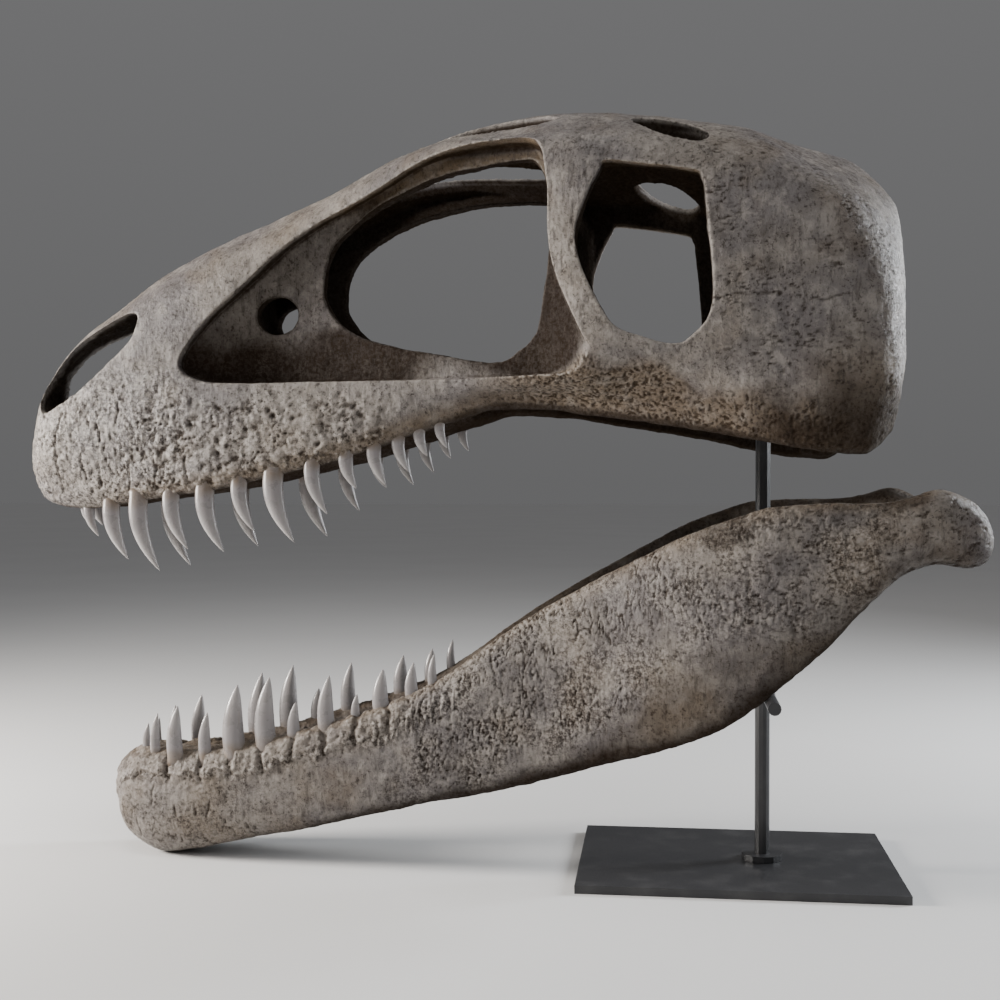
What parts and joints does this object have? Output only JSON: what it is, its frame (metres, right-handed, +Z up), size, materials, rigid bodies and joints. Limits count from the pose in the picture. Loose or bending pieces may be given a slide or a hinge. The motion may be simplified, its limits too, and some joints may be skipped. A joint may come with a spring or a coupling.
{
  "type": "tyrannosaurid dinosaur skull",
  "caption": "Life-size fossil skull of a large tyrannosaurid dinosaur, jaws open, held on a plain display stand with a flat base and a rod.",
  "frame": {"origin": "middle of the footprint, on the plane that the chin and the stand's base rest on", "axes": "X from the snout to the back of the head, Y to the animal's right, Z up"},
  "size_m": [1.421, 0.534, 1.117],
  "materials": {
    "skull_bone": "matt pale grey-brown fossil bone with dark brown stains; teeth smoother and off-white",
    "jaw_bone": "matt pale grey-brown fossil bone with dark brown stains; teeth smoother and off-white",
    "steel": "satin black paint"
  },
  "bodies": {
    "root": {"angular_left": "jaw_bone", "angular_right": "jaw_bone", "articular_left": "jaw_bone", "articular_right": "jaw_bone", "dentary_left": "jaw_bone", "dentary_right": "jaw_bone", "frontals": "skull_bone", "jugal_left": "skull_bone", "jugal_right": "skull_bone", "lacrimal_left": "skull_bone", "lacrimal_right": "skull_bone", "maxilla_left": "skull_bone", "maxilla_right": "skull_bone", "nasals": "skull_bone", "occiput": "skull_bone", "parietals": "skull_bone", "postorbital_left": "skull_bone", "postorbital_right": "skull_bone", "premaxilla_left": "skull_bone", "premaxilla_right": "skull_bone", "pterygoid_left": "skull_bone", "pterygoid_right": "skull_bone", "quadratojugal_left": "skull_bone", "quadratojugal_right": "skull_bone", "squamosal_left": "skull_bone", "squamosal_right": "skull_bone", "stand_base": "steel", "stand_rod": "steel", "stand_yoke": "steel", "surangular_left": "jaw_bone", "surangular_right": "jaw_bone"}
  },
  "joints": []
}
